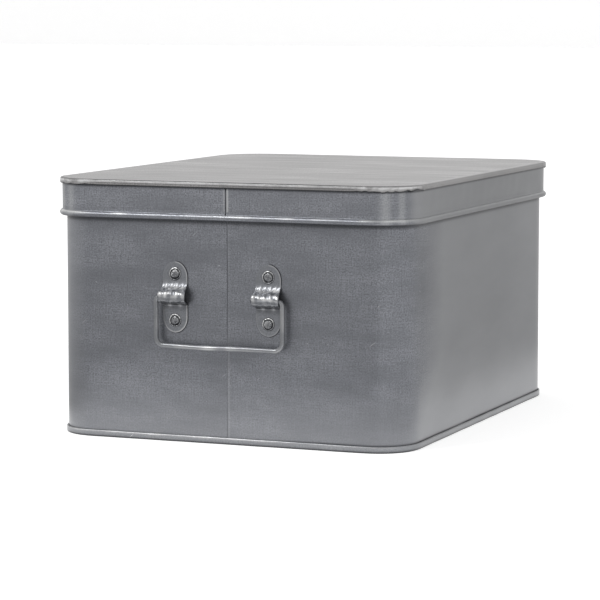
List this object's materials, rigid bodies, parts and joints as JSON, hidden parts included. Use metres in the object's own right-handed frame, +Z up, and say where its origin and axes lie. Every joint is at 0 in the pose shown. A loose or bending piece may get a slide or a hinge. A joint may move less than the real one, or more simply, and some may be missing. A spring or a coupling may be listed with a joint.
{
  "type": "metal storage box",
  "caption": "Rounded rectangular sheet-metal box for papers and keepsakes, with a lift-off lid, rolled and seamed edges, and a drop handle on each end.",
  "frame": {"origin": "on the ground, under the middle of the box", "axes": "+Z up, +Y along the length of the box from the front handle to the rear handle, +X to the right seen from the front handle's end"},
  "size_m": [0.3168, 0.408, 0.211],
  "materials": {
    "painted_sheet": "grey metallic paint, brushed on, satin",
    "edge_wire": "plain drawn steel wire, hidden in the rolled edge",
    "handle_strap": "grey metallic paint, worn bright on the hump",
    "handle_wire": "grey metallic paint over drawn steel wire, satin",
    "rivet_metal": "grey metallic paint, worn bright on the hammered head"
  },
  "bodies": {
    "box": {"left_wall": "painted_sheet", "right_wall": "painted_sheet", "base_panel": "painted_sheet", "front_left_strap": "handle_strap", "front_right_strap": "handle_strap", "rear_left_strap": "handle_strap", "rear_right_strap": "handle_strap", "front_left_upper_rivet": "rivet_metal", "front_left_lower_rivet": "rivet_metal", "front_right_upper_rivet": "rivet_metal", "front_right_lower_rivet": "rivet_metal", "rear_left_upper_rivet": "rivet_metal", "rear_left_lower_rivet": "rivet_metal", "rear_right_upper_rivet": "rivet_metal", "rear_right_lower_rivet": "rivet_metal", "front_left_upper_washer": "rivet_metal", "front_left_lower_washer": "rivet_metal", "front_right_upper_washer": "rivet_metal", "front_right_lower_washer": "rivet_metal", "rear_left_upper_washer": "rivet_metal", "rear_left_lower_washer": "rivet_metal", "rear_right_upper_washer": "rivet_metal", "rear_right_lower_washer": "rivet_metal"},
    "lid": {"lid_panel": "painted_sheet", "lid_left_skirt": "painted_sheet", "lid_right_skirt": "painted_sheet", "lid_edge_wire": "edge_wire"},
    "front_handle": {"front_bail": "handle_wire"},
    "rear_handle": {"rear_bail": "handle_wire"}
  },
  "joints": [
    {"name": "lid_lift", "type": "slide", "parent": "box", "child": "lid", "axis": [0, 0, 1], "range_m": [0, 0.16]},
    {"name": "front_handle_swing", "type": "hinge", "parent": "box", "child": "front_handle", "pos_m": [-0.002, -0.2009, 0.1175], "axis": [-1, 0, 0], "range_deg": [-6.5, 186.5]},
    {"name": "rear_handle_swing", "type": "hinge", "parent": "box", "child": "rear_handle", "pos_m": [0.002, 0.2009, 0.1175], "axis": [1, 0, 0], "range_deg": [-6.5, 186.5]}
  ]
}
